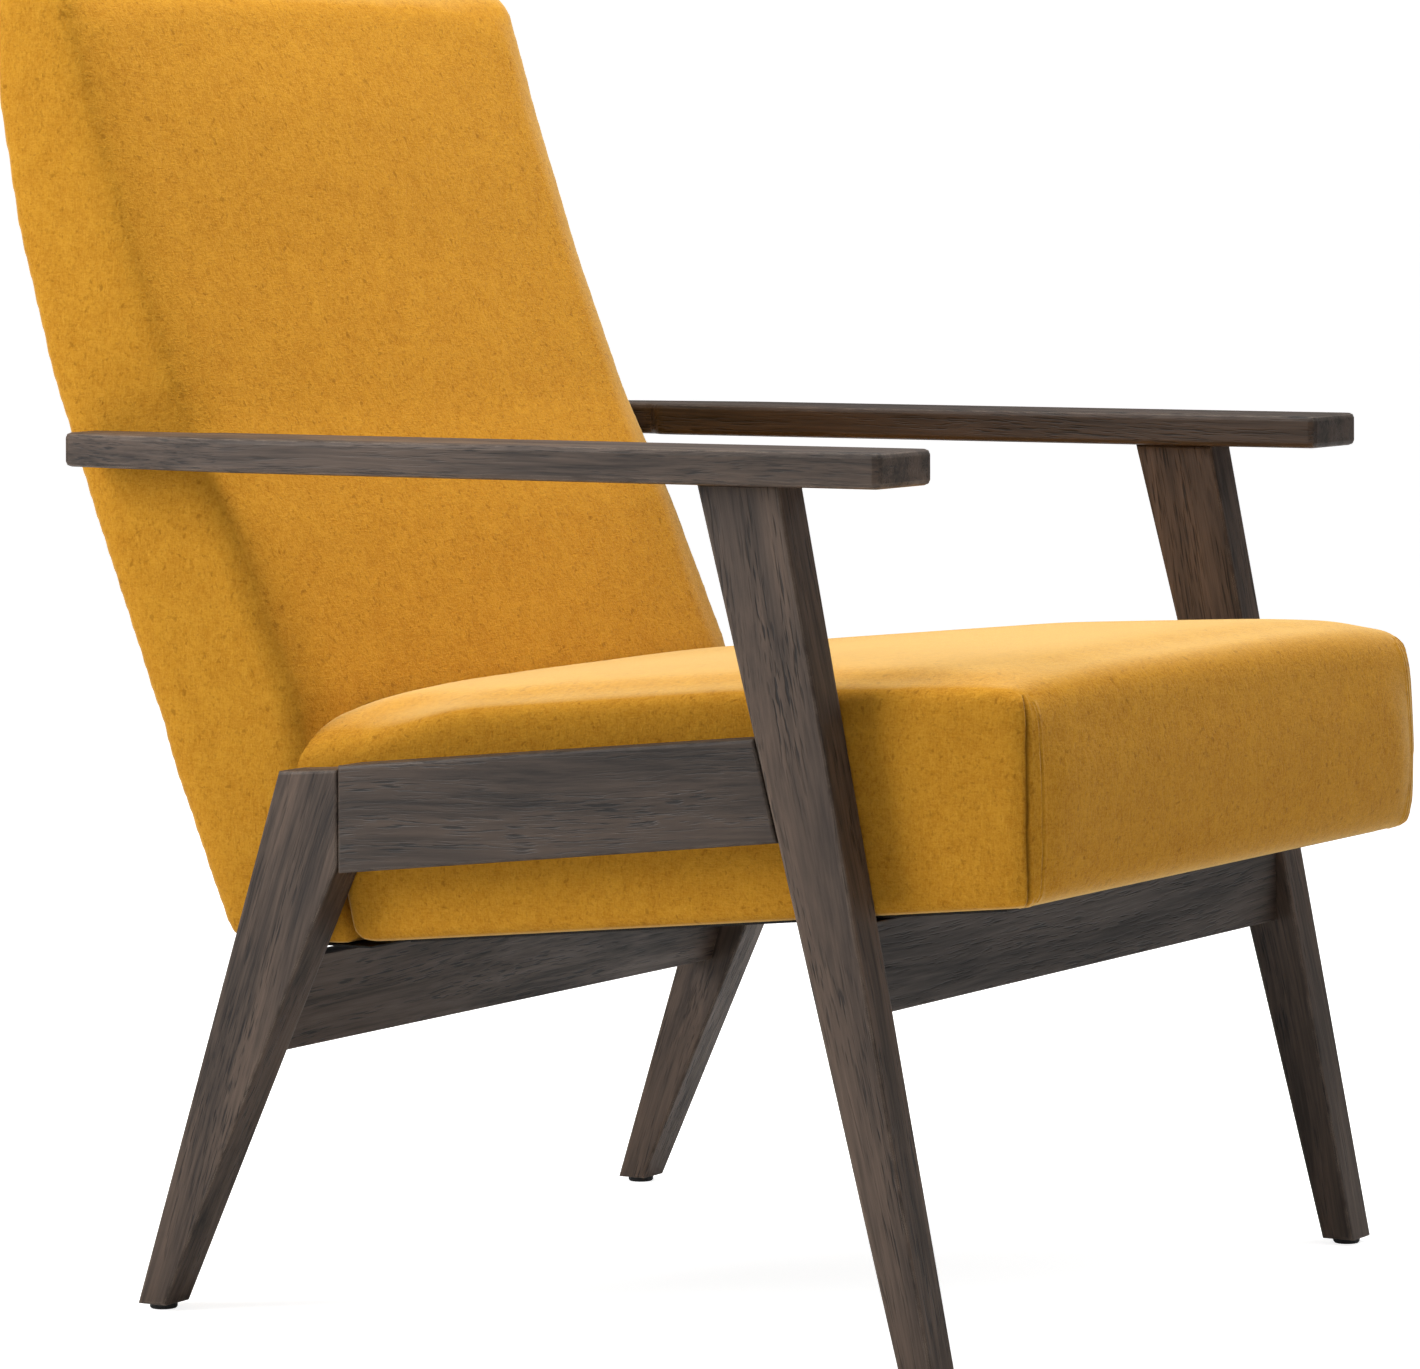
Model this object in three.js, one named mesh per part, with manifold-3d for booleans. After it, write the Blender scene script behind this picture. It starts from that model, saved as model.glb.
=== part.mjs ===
// Upholstered lounge armchair on a dark wooden frame. Millimetres, +Z up, facing -Y,
// origin on the floor under the middle of the chair.
import * as THREE from 'three';
import { mergeVertices } from 'three/addons/utils/BufferGeometryUtils.js';
import Module from 'manifold-3d';

const wasm = await Module();
wasm.setup();

// Driving dimensions
const gap = 0.4; // clearance kept between touching pieces
const legX = 310.3; // middle of each side frame, from the chair's middle
const legThick = 31;
const floorGap = 4; // height of the wood above the floor
const frontLeg = { topFront: -244.7, topRear: -183.8, footFront: -354.9, footRear: -330.9 };
const rearLeg = { shoulder: 93, topFrontZ: 371, topRear: 140, topRearZ: 368, footFront: 234.5, footRear: 256,
  shoulderZ: 302, neck: 100 };
const rail = { topZ: 382.7, topFall: 0.0977, bottomZ: 312.4, bottomFall: 0.109 };
const arm = { top: 590, thick: 23.2, outer: 352.7, inner: 281.9, front: -332.7, kink: 164, rear: 314,
  rearOuter: 327, notch: 212, notchInner: 290.6, edge: 3.5, corner: 5 };
const frontApron = { face: -296.4, thick: 22, bottom: 229 };
const rearApron = { face: 172.4, thick: 20, bottom: 173.7, height: 64, lean: 0.3 };
const seat = { drop: 259.3, fall: 0.1, half: 293.6, height: 161, edge: 24, wall: 1.6, frameHeight: 92,
  frameThick: 22, frameInset: 3, frameBottom: 6, frameFront: -396, frameRear: 80, foamGap: 2.8, clothInset: 12 };
const back = { half: 290, bottom: 247, top: 905, edge: 30, wall: 1.6, stileThick: 24, stileInset: 3, stileFront: 25, stileRear: 9,
  frameBottom: 254, frameTop: 862, railHeight: 62, railThick: 22,
  foamGap: 8 };
const dowel = { radius: 5, length: 40 };
const bolt = { radius: 4, headRadius: 7.5, headHeight: 4 };
const strap = { thick: 1.8, seatWidth: 62, backWidth: 56 };

// Side outlines of the back and the seat, as [y, z]
const backRear = [[205, 247], [226, 296], [276, 416], [324, 538], [358, 629], [386, 728], [401, 808], [406, 865]];
const backFront = [[88, 247], [149, 413], [199, 524], [238, 599], [281, 707], [318, 816], [338, 872]];
const seatFront = [[-408, 0], [-416, 60], [-423, 110]];
const seatTop = [[-399, 141], [-300, 154], [-200, 160], [-100, 161]];
const seatRearBottom = 87;
const seatRearTop = 128;

const wood = { color: 0x4a423c, roughness: 0.45, metalness: 0 };
const beech = { color: 0xc79a62, roughness: 0.7, metalness: 0 };
const felt = { color: 0xbe8730, roughness: 0.95, metalness: 0 };
const foam = { color: 0xe8dfc2, roughness: 1, metalness: 0 };
const webbing = { color: 0x2b2b2b, roughness: 0.9, metalness: 0 };
const steel = { color: 0xa9adb0, roughness: 0.35, metalness: 1 };
const plastic = { color: 0x151515, roughness: 0.5, metalness: 0 };

// Solids and booleans
function toSolid(geometry) {
  const bare = geometry.clone();
  bare.deleteAttribute('normal');
  bare.deleteAttribute('uv');
  const welded = mergeVertices(bare, 1e-3);
  return new wasm.Manifold(new wasm.Mesh({
    numProp: 3,
    vertProperties: new Float32Array(welded.attributes.position.array),
    triVerts: new Uint32Array(welded.index.array),
  }));
}

function toGeometry(solid) {
  const mesh = solid.getMesh();
  const geometry = new THREE.BufferGeometry();
  geometry.setAttribute('position', new THREE.BufferAttribute(mesh.vertProperties, 3));
  geometry.setIndex(new THREE.BufferAttribute(mesh.triVerts, 1));
  geometry.computeVertexNormals();
  return geometry;
}

function cut(geometry, cutters) {
  return toGeometry(cutters.reduce((solid, cutter) => solid.subtract(toSolid(cutter)), toSolid(geometry)));
}

function piece(name, geometry, look) {
  const mesh = new THREE.Mesh(geometry, new THREE.MeshStandardMaterial(look));
  mesh.name = name;
  return mesh;
}

function polygon(points) {
  return new THREE.Shape(points.map(([u, v]) => new THREE.Vector2(u, v)));
}

// Polygon whose corners are rounded off by arcs that start "radius" before each corner
function roundedPolygon(points, radius) {
  const shape = new THREE.Shape();
  const corners = points.map(([u, v]) => new THREE.Vector2(u, v));
  corners.forEach((corner, i) => {
    const before = corners[(i + corners.length - 1) % corners.length];
    const after = corners[(i + 1) % corners.length];
    const start = corner.clone().add(before.clone().sub(corner).setLength(radius));
    const end = corner.clone().add(after.clone().sub(corner).setLength(radius));
    if (i === 0) {
      shape.moveTo(start.x, start.y);
    } else {
      shape.lineTo(start.x, start.y);
    }
    shape.quadraticCurveTo(corner.x, corner.y, end.x, end.y);
  });
  shape.closePath();
  return shape;
}

// Extrudes a [y, z] outline across the chair, centred on x = 0
function across(shape, width, steps = 5) {
  const geometry = new THREE.ExtrudeGeometry(shape, { depth: width, bevelEnabled: false, curveSegments: steps });
  geometry.translate(0, 0, -width / 2);
  const axes = new THREE.Matrix4();
  axes.makeBasis(new THREE.Vector3(0, 1, 0), new THREE.Vector3(0, 0, 1), new THREE.Vector3(1, 0, 0));
  return geometry.applyMatrix4(axes);
}

// The same, with its long edges rounded over
function acrossEased(shape, width, edge) {
  const geometry = new THREE.ExtrudeGeometry(shape, {
    depth: width - 2 * edge, bevelThickness: edge, bevelSize: edge, bevelOffset: -edge, bevelSegments: 2,
    curveSegments: 4,
  });
  geometry.translate(0, 0, edge - width / 2);
  const axes = new THREE.Matrix4();
  axes.makeBasis(new THREE.Vector3(0, 1, 0), new THREE.Vector3(0, 0, 1), new THREE.Vector3(1, 0, 0));
  return geometry.applyMatrix4(axes);
}

// Cylinder of a length centred on a point, along x, y or z
function rod(axis, radius, length, [x, y, z], sides = 12) {
  const geometry = new THREE.CylinderGeometry(radius, radius, length, sides);
  if (axis === 'x') {
    geometry.rotateZ(Math.PI / 2);
  }
  if (axis === 'z') {
    geometry.rotateX(Math.PI / 2);
  }
  return geometry.translate(x, y, z);
}

function box(sizeX, sizeY, sizeZ, [x, y, z]) {
  return new THREE.BoxGeometry(sizeX, sizeY, sizeZ).translate(x, y, z);
}

// The y of a side curve at a height; past its ends the curve runs on straight
function between(points, at) {
  const above = points.findIndex(([, z]) => z >= at);
  const i = above < 0 ? points.length - 1 : Math.max(1, above);
  const [y0, z0] = points[i - 1];
  const [y1, z1] = points[i];
  return y0 + (y1 - y0) * (at - z0) / (z1 - z0);
}

const arm0 = arm.top - arm.thick;
const frontLegRear = (z) => frontLeg.footRear + (frontLeg.topRear - frontLeg.footRear) * z / arm0;
const railTop = (y) => rail.topZ - rail.topFall * y;
const railBottom = (y) => rail.bottomZ - rail.bottomFall * y;
const sideName = (side) => (side < 0 ? 'right' : 'left');

// Where the dowels sit, as [y, z]
const railFrontDowels = [388, 356].map((z) => [frontLegRear(z), z]);
const railRearDowels = [352, 322].map((z) => [rearLeg.shoulder, z]);
const armDowels = [-228, -202].map((y) => [y, arm0]);
const seatBolts = [-180, 10]; // along the seat's slope
const seatBoltZ = 74;
const backBolt = [146, 322];
const armBolt = [276, arm.top - arm.thick / 2];

function frontLegGeometry() {
  const topZ = arm0 - gap;
  const outline = polygon([[frontLeg.footFront, floorGap], [frontLeg.footRear, floorGap],
    [frontLeg.topRear, topZ], [frontLeg.topFront, topZ]]);
  const apronSlot = apronProfile(frontApronOutline(), gap);
  const holes = [
    ...railFrontDowels.map(([y, z]) => rod('y', dowel.radius + gap, dowel.length + 2 * gap, [0, y, z])),
    ...armDowels.map(([y, z]) => rod('z', dowel.radius + gap, dowel.length, [0, y, z])),
    glideHole((frontLeg.footFront + frontLeg.footRear) / 2),
  ];
  return { outline, holes, apronSlot };
}

function glideHole(y) {
  return rod('z', glideSpike.radius + gap, 2 * glideSpike.top, [0, y, 0], 8);
}

const glideSpike = { radius: 2, top: 20 };

function frontApronOutline() {
  const top = (y) => seat.drop - seat.fall * y - gap;
  const rear = frontApron.face + frontApron.thick;
  return [[frontApron.face, frontApron.bottom], [rear, frontApron.bottom], [rear, top(rear)],
    [frontApron.face, top(frontApron.face)]];
}

function rearApronOutline() {
  const { face, thick, bottom, height, lean } = rearApron;
  const shift = lean * height;
  return [[face, bottom], [face + thick, bottom], [face + thick - shift, bottom + height],
    [face - shift, bottom + height]];
}

// Outline of a stub tenon, inset from the apron's own, and grown by a clearance for its mortise
function apronProfile(outline, grow) {
  const inset = 6 - grow;
  const [a, b, c, d] = outline;
  return polygon([[a[0] + inset, a[1] + inset], [b[0] - inset, b[1] + inset], [c[0] - inset, c[1] - inset],
    [d[0] + inset, d[1] - inset]]);
}

const tenonLength = 14;

function apron(name, outline) {
  const innerHalf = legX - legThick / 2 - gap;
  const body = acrossEased(polygon(outline), 2 * innerHalf, 1.5);
  const tenon = across(apronProfile(outline, 0), 2 * (innerHalf + tenonLength));
  return piece(name, toGeometry(toSolid(body).add(toSolid(tenon))), wood);
}

function mortise(outline, side) {
  const depth = tenonLength + 2;
  const inner = -side * (legThick / 2 + 1 - depth / 2);
  return across(apronProfile(outline, gap), depth).translate(inner, 0, 0);
}

function frontLegMesh(side) {
  const { outline, holes } = frontLegGeometry();
  const solid = acrossEased(outline, legThick, 2);
  return piece(`front_leg_${sideName(side)}`, cut(solid, [...holes, mortise(frontApronOutline(), side)]), wood);
}

function rearLegMesh(side) {
  const leg = rearLeg;
  const outline = polygon([[leg.footFront, floorGap], [leg.footRear, floorGap], [leg.topRear, leg.topRearZ],
    [leg.shoulder + gap, leg.topFrontZ], [leg.shoulder + gap, leg.shoulderZ + 6], [leg.neck, leg.shoulderZ - 8]]);
  const holes = [
    ...railRearDowels.map(([y, z]) => rod('y', dowel.radius + gap, dowel.length + 2 * gap, [0, y, z])),
    rod('x', bolt.radius + gap, legThick, [-side * legThick / 3, ...backBolt]),
    glideHole((leg.footFront + leg.footRear) / 2),
    mortise(rearApronOutline(), side),
  ];
  return piece(`rear_leg_${sideName(side)}`, cut(acrossEased(outline, legThick, 2), holes), wood);
}

function sideRail(side) {
  const frontTop = frontLegRear(railTop(-226)) + gap;
  const frontBottom = frontLegRear(railBottom(-243)) + gap;
  const rear = rearLeg.shoulder;
  const outline = polygon([[frontBottom, railBottom(frontBottom)], [rear, railBottom(rear)],
    [rear, railTop(rear)], [frontTop, railTop(frontTop)]]);
  const holes = [...railFrontDowels, ...railRearDowels].map(
    ([y, z]) => rod('y', dowel.radius + gap, dowel.length + 2 * gap, [0, y, z]));
  for (const y of seatBolts) {
    const at = seatPoint(y, seatBoltZ);
    holes.push(rod('x', bolt.radius + gap, legThick, [-side * legThick / 3, ...at]));
  }
  return piece(`side_rail_${sideName(side)}`, cut(acrossEased(outline, legThick, 2), holes), wood);
}

// Plan outline of the armrest, parallel to the seat and drawn in behind the kink
function armrest(side) {
  const x = (value) => side * (value - legX);
  const corners = [[x(arm.outer), arm.front], [x(arm.inner), arm.front], [x(arm.inner), arm.notch],
    [x(arm.notchInner), arm.notch + 10], [x(arm.notchInner), arm.rear], [x(arm.rearOuter), arm.rear],
    [x(arm.outer), arm.kink]];
  const shape = roundedPolygon(side < 0 ? corners : corners.reverse(), arm.corner);
  const blank = new THREE.ExtrudeGeometry(shape, {
    depth: arm.thick - 2 * arm.edge, bevelThickness: arm.edge, bevelSize: arm.edge, bevelOffset: -arm.edge,
    bevelSegments: 2, curveSegments: 2,
  });
  blank.translate(0, 0, arm0 + arm.edge);
  const holes = armDowels.map(([y, z]) => rod('z', dowel.radius + gap, dowel.length * 0.75, [0, y, z]));
  holes.push(rod('x', bolt.radius + gap, 40, [x(back.half + 4), ...armBolt]));
  return piece(`armrest_${sideName(side)}`, cut(blank, holes), wood);
}

function glide(name, y) {
  const profile = [[0, 0], [8.5, 0], [9.5, 1.2], [9.5, floorGap - gap], [glideSpike.radius, floorGap - gap],
    [glideSpike.radius, glideSpike.top - 4], [0, glideSpike.top - 2]];
  const geometry = new THREE.LatheGeometry(profile.map(([r, z]) => new THREE.Vector2(r, z)), 16);
  const mesh = piece(name, geometry.rotateX(Math.PI / 2), plastic);
  mesh.position.y = y;
  return mesh;
}

function sideFrame(side) {
  const group = new THREE.Group();
  const label = sideName(side);
  group.position.x = side * legX;
  group.add(frontLegMesh(side), rearLegMesh(side), sideRail(side), armrest(side));
  group.add(glide(`front_glide_${label}`, (frontLeg.footFront + frontLeg.footRear) / 2));
  group.add(glide(`rear_glide_${label}`, (rearLeg.footFront + rearLeg.footRear) / 2));
  const joints = [['rail_front_dowel', railFrontDowels], ['rail_rear_dowel', railRearDowels]];
  for (const [joint, places] of joints) {
    places.forEach(([y, z], i) => {
      const level = i === 0 ? 'upper' : 'lower';
      group.add(piece(`${joint}_${level}_${label}`, rod('y', dowel.radius, dowel.length, [0, y, z], 10), beech));
    });
  }
  armDowels.forEach(([y, z], i) => {
    const peg = rod('z', dowel.radius, dowel.length * 0.7, [0, y, z], 10);
    group.add(piece(`arm_dowel_${i + 1}_${label}`, peg, beech));
  });
  return group;
}

// A point of the tilted seat, given along and above its underside, as [y, z] of the chair
function seatPoint(y, z) {
  const angle = Math.atan(seat.fall);
  return [y * Math.cos(angle) + z * Math.sin(angle), seat.drop - y * Math.sin(angle) + z * Math.cos(angle)];
}

// Screw with a round head; its shank runs from the head towards +x or -x
function boltGeometry(direction, shank, [x, y, z], grow = 0) {
  const headMid = x - direction * bolt.headHeight / 2;
  const head = rod('x', bolt.headRadius + grow, bolt.headHeight + 2 * grow, [headMid, y, z], 12);
  const stem = rod('x', bolt.radius + grow, shank + 1 + 2 * grow, [x + direction * (shank - 1) / 2, y, z], 10);
  return toGeometry(toSolid(head).add(toSolid(stem)));
}

// Closed soft block: side outline, plan and front outline intersected; "inset" shrinks it evenly
function seatBlock(inset, bottom) {
  const front = seatFront.map(([y, z]) => [y + inset, z]);
  const top = seatTop.map(([y, z]) => [y, z - inset]);
  front[0][1] = bottom;
  const shape = new THREE.Shape();
  shape.moveTo(front[0][0], front[0][1]);
  shape.lineTo(seatRearBottom - inset, bottom);
  shape.lineTo(seatRearTop - inset, seat.height - inset);
  top.reverse().forEach(([y, z]) => shape.lineTo(y, z));
  shape.quadraticCurveTo(front[2][0] - 1, top[3][1] - 6, front[2][0], front[2][1]);
  shape.lineTo(front[1][0], front[1][1]);
  shape.closePath();
  const half = seat.half - inset;
  const long = 1000;
  const plan = roundedPolygon([[-half, front[2][0] - 1], [half, front[2][0] - 1], [half, seatRearTop],
    [-half, seatRearTop]], seat.edge);
  const planSolid = new THREE.ExtrudeGeometry(plan, { depth: long, bevelEnabled: false, curveSegments: 4 });
  planSolid.translate(0, 0, -long / 2);
  const face = roundedPolygon([[-half, -long / 4], [half, -long / 4], [half, seat.height - inset],
    [-half, seat.height - inset]], seat.edge);
  const faceSolid = new THREE.ExtrudeGeometry(face, { depth: 2 * long, bevelEnabled: false, curveSegments: 4 });
  faceSolid.rotateX(Math.PI / 2).translate(0, long, 0);
  return toSolid(across(shape, 2 * half, 5)).intersect(toSolid(planSolid)).intersect(toSolid(faceSolid));
}

function seatGroup() {
  const group = new THREE.Group();
  group.position.z = seat.drop;
  group.rotation.x = -Math.atan(seat.fall);
  const { wall, half, frameHeight, frameThick, frameInset, frameBottom, frameFront, frameRear, foamGap } = seat;
  const frameMid = (frameHeight + frameBottom) / 2;
  const tall = frameHeight - frameBottom;
  const outerX = half - wall - 2 * gap - frameInset;
  const midX = outerX - frameThick / 2;
  const boltX = outerX - frameThick;
  const boltReach = frameThick + frameInset + wall + 2 * gap + 22;

  const boltHoles = (side) => seatBolts.map(
    (y) => rod('x', bolt.radius + gap, 140, [side * half, y, seatBoltZ], 12));
  const allHoles = [...boltHoles(-1), ...boltHoles(1)];

  const shell = seatBlock(0, 0).subtract(seatBlock(wall, -20));
  const cover = allHoles.reduce((solid, hole) => solid.subtract(toSolid(hole)), shell);
  group.add(piece('seat_cover', toGeometry(cover), felt));

  const above = box(2 * half, 1200, seat.height, [0, 0, frameHeight + foamGap + seat.height / 2]);
  group.add(piece('seat_foam', toGeometry(seatBlock(wall + gap, 0).intersect(toSolid(above))), foam));

  const crossLength = 2 * outerX - 12;
  const ends = [['seat_frame_front', frameFront + frameThick / 2], ['seat_frame_rear', frameRear - frameThick / 2]];
  for (const [name, y] of ends) {
    group.add(piece(name, box(crossLength, frameThick, tall, [0, y, frameMid]), beech));
  }
  const sideFront = frameFront + frameThick + gap;
  const sideRear = frameRear - frameThick - gap;
  for (const side of [-1, 1]) {
    const label = sideName(side);
    const member = box(frameThick, sideRear - sideFront, tall, [side * midX, (sideFront + sideRear) / 2, frameMid]);
    group.add(piece(`seat_frame_side_${label}`, cut(member, boltHoles(side)), beech));
    seatBolts.forEach((y, i) => {
      const geometry = boltGeometry(side, boltReach, [side * (boltX - gap), y, seatBoltZ]);
      group.add(piece(`seat_bolt_${i === 0 ? 'front' : 'rear'}_${label}`, geometry, steel));
    });
    for (const [place, y, turn] of [['front', sideFront, 1], ['rear', sideRear, -1]]) {
      const leg = 62;
      const cornerX = side * (boltX - gap);
      const cornerY = y + turn * gap;
      const points = [[cornerX, cornerY], [cornerX - side * leg, cornerY], [cornerX, cornerY + turn * leg]];
      const ordered = side * turn < 0 ? points : points.reverse();
      const block = new THREE.ExtrudeGeometry(polygon(ordered), { depth: 42, bevelEnabled: false });
      group.add(piece(`corner_block_${place}_${label}`, block.translate(0, 0, 8), beech));
    }
  }
  const strapCount = 4;
  const pitch = (sideRear - sideFront) / strapCount;
  for (let i = 0; i < strapCount; i += 1) {
    const y = sideFront + pitch * (i + 0.5);
    const strip = box(2 * outerX - 14, strap.seatWidth, strap.thick, [0, y, frameHeight + gap + strap.thick / 2]);
    group.add(piece(`seat_strap_${i + 1}`, strip, webbing));
  }
  const clothLength = frameRear - frameFront - 2 * seat.clothInset;
  const cloth = box(2 * (outerX - seat.clothInset), clothLength, 1.2, [0, (frameFront + frameRear) / 2, 1.2]);
  group.add(piece('seat_dust_cloth', cloth, webbing));
  return group;
}

// Closed solid of the back, between two side curves and under a rounded top
function backBlock(inset, bottom) {
  const rear = backRear.map(([y, z]) => [y - inset, z]);
  const front = backFront.map(([y, z]) => [y + inset, z]);
  const slopeRear = (rear[1][0] - rear[0][0]) / (rear[1][1] - rear[0][1]);
  const slopeFront = (front[1][0] - front[0][0]) / (front[1][1] - front[0][1]);
  const top = back.top - inset;
  const below = 60;
  const shape = new THREE.Shape();
  shape.moveTo(front[0][0] - slopeFront * below, back.bottom - below);
  shape.lineTo(rear[0][0] - slopeRear * below, back.bottom - below);
  rear.forEach(([y, z]) => shape.lineTo(y, z));
  const lastRear = rear[rear.length - 1];
  const lastFront = front[front.length - 1];
  shape.quadraticCurveTo(lastRear[0], top, (lastRear[0] + lastFront[0]) / 2 + 4, top);
  shape.quadraticCurveTo(lastFront[0] + 10, top, lastFront[0], lastFront[1]);
  front.reverse().slice(1).forEach(([y, z]) => shape.lineTo(y, z));
  shape.closePath();
  const half = back.half - inset;
  const face = roundedPolygon([[-half, -200], [half, -200], [half, top], [-half, top]], back.edge);
  const faceSolid = new THREE.ExtrudeGeometry(face, { depth: 2000, bevelEnabled: false, curveSegments: 5 });
  faceSolid.rotateX(Math.PI / 2).translate(0, 1000, 0);
  const trim = box(4 * half, 2000, 1000, [0, 0, bottom + 500]);
  return toSolid(across(shape, 2 * half, 5)).intersect(toSolid(faceSolid)).intersect(toSolid(trim));
}

// Side outline of a band between two heights, given its front and rear edge at each height
function band(frontAt, rearAt, from, to, steps) {
  const heights = Array.from({ length: steps + 1 }, (_, i) => from + (to - from) * i / steps);
  return polygon([...heights.map((z) => [rearAt(z), z]), ...heights.reverse().map((z) => [frontAt(z), z])]);
}

function backGroup() {
  const group = new THREE.Group();
  const { wall, half, stileThick, stileInset, frameBottom, frameTop, railHeight, railThick } = back;
  const stileFront = (z) => between(backFront, z) + back.stileFront;
  const stileRear = (z) => between(backRear, z) - back.stileRear;
  const outerX = half - wall - 2 * gap - stileInset;
  const innerX = outerX - stileThick;

  const places = [['back_bolt', backBolt, 10 + wall], ['arm_bolt', armBolt, 16 + wall]];
  const holes = [];
  for (const side of [-1, 1]) {
    for (const [, place] of places) {
      holes.push(rod('x', bolt.radius + gap, 90, [side * half, ...place], 12));
    }
  }
  const shell = backBlock(0, back.bottom).subtract(backBlock(wall, back.bottom - 20));
  group.add(piece('back_cover', toGeometry(holes.reduce((solid, hole) => solid.subtract(toSolid(hole)), shell)), felt));

  const stileOutline = band(stileFront, stileRear, frameBottom, frameTop, 8);
  for (const side of [-1, 1]) {
    const stile = across(stileOutline, stileThick).translate(side * (outerX - stileThick / 2), 0, 0);
    group.add(piece(`back_stile_${sideName(side)}`, cut(stile, holes), beech));
    for (const [name, place, reach] of places) {
      const shank = boltGeometry(side, stileThick + stileInset + reach + 4, [side * (innerX - gap), ...place]);
      group.add(piece(`${name}_${sideName(side)}`, shank, steel));
    }
  }

  const railWidth = 2 * (innerX - gap);
  for (const [name, z] of [['back_frame_bottom', frameBottom], ['back_frame_top', frameTop - railHeight]]) {
    const frontAt = (at) => stileRear(at) - railThick;
    group.add(piece(name, across(band(frontAt, stileRear, z, z + railHeight, 2), railWidth), beech));
  }

  const strapCount = 4;
  const lowest = frameBottom + railHeight + 40;
  const highest = frameTop - railHeight;
  for (let i = 0; i < strapCount; i += 1) {
    const z = lowest + (highest - lowest) * (i + 0.5) / strapCount;
    const rise = strap.backWidth / 2;
    const run = stileFront(z + rise) - stileFront(z - rise);
    const strip = piece(`back_strap_${i + 1}`, new THREE.BoxGeometry(2 * outerX - 12, strap.thick, strap.backWidth), webbing);
    strip.position.set(0, stileFront(z) - strap.thick - 1.2, z);
    strip.rotation.x = -Math.atan2(run, strap.backWidth);
    group.add(strip);
  }

  const foamRear = (z) => stileFront(z) - back.foamGap;
  const foamFront = (z) => between(backFront, z) - 60;
  const layer = across(band(foamFront, foamRear, frameBottom, frameTop + 34, 9), 2 * half);
  const pad = backBlock(wall + gap, frameBottom).intersect(toSolid(layer));
  group.add(piece('back_foam', toGeometry(pad), foam));

  const clothFront = backFront[0][0] + 8;
  const clothRear = backRear[0][0] - 6;
  const cloth = box(2 * outerX - 8, clothRear - clothFront, 1.2, [0, (clothFront + clothRear) / 2, back.bottom + 1.4]);
  group.add(piece('back_dust_cloth', cloth, webbing));
  return group;
}

const chair = new THREE.Group();
chair.add(sideFrame(-1), sideFrame(1));
chair.add(apron('front_apron', frontApronOutline()), apron('rear_apron', rearApronOutline()));
chair.add(seatGroup(), backGroup());

// Brings the origin under the middle of the chair's outline
chair.updateMatrixWorld(true);
const extent = new THREE.Box3().setFromObject(chair, true);
chair.position.y = -(extent.min.y + extent.max.y) / 2;

export default chair;
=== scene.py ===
# Upholstered lounge armchair: dark stained frame, seat and back in mustard wool felt.
import bmesh
import bpy
import math
from mathutils import Matrix, Vector, noise


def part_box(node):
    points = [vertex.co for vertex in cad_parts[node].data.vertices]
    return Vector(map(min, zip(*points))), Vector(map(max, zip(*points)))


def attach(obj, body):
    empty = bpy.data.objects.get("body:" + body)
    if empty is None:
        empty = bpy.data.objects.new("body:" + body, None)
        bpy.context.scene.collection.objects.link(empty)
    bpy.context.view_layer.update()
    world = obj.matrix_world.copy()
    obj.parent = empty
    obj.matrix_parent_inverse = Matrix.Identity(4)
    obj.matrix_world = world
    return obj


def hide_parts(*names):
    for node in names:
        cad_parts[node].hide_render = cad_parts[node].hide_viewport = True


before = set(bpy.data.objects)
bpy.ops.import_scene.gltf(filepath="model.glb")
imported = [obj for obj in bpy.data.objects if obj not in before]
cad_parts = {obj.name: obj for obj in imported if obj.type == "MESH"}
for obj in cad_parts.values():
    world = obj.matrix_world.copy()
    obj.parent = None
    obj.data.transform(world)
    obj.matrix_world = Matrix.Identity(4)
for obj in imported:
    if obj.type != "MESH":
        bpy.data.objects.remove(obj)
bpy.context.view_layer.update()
scene = bpy.context.scene
print("frame loaded:", len(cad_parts), "nodes")


# ---- small helpers

def lerp(a, b, t):
    return a + (b - a) * t


def smoothStep(low, high, value):
    t = min(1.0, max(0.0, (value - low) / (high - low)))
    return t * t * (3 - 2 * t)


def makeObject(name, bm, material):
    mesh = bpy.data.meshes.new(name)
    bm.to_mesh(mesh)
    bm.free()
    obj = bpy.data.objects.new(name, mesh)
    scene.collection.objects.link(obj)
    mesh.materials.append(material)
    return obj


def shadeSmooth(obj):
    obj.data.polygons.foreach_set("use_smooth", [True] * len(obj.data.polygons))
    obj.data.update()


def isAcross(a, b, half):
    return abs(a.x - b.x) > half


def onSide(a, b, half):
    return abs(a.x - b.x) < 1e-4 and abs(abs(a.x) - half) < 1e-3


def bevelEdges(bm, test, width, segments):
    edges = [e for e in bm.edges if test(e.verts[0].co, e.verts[1].co)]
    bmesh.ops.bevel(bm, geom=edges, offset=width, offset_type="OFFSET", segments=segments,
                    profile=0.5, affect="EDGES", material=-1, clamp_overlap=True)


# ---- camera, light and stage

cameraSettings = {
    "place": (-3.9077, -2.3143, 0.7772),
    "turn": (89.702, 0.173, -60.345),  # degrees about X, Y, Z
    "lens": 165.18,
    "shift": (-0.0784, -0.3499),
}


def addCamera():
    data = bpy.data.cameras.new("camera")
    data.sensor_width = 36.0
    data.lens = cameraSettings["lens"]
    data.shift_x, data.shift_y = cameraSettings["shift"]
    data.clip_end = 60.0
    camera = bpy.data.objects.new("camera", data)
    camera.location = cameraSettings["place"]
    camera.rotation_euler = [math.radians(a) for a in cameraSettings["turn"]]
    scene.collection.objects.link(camera)
    scene.camera = camera


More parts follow.
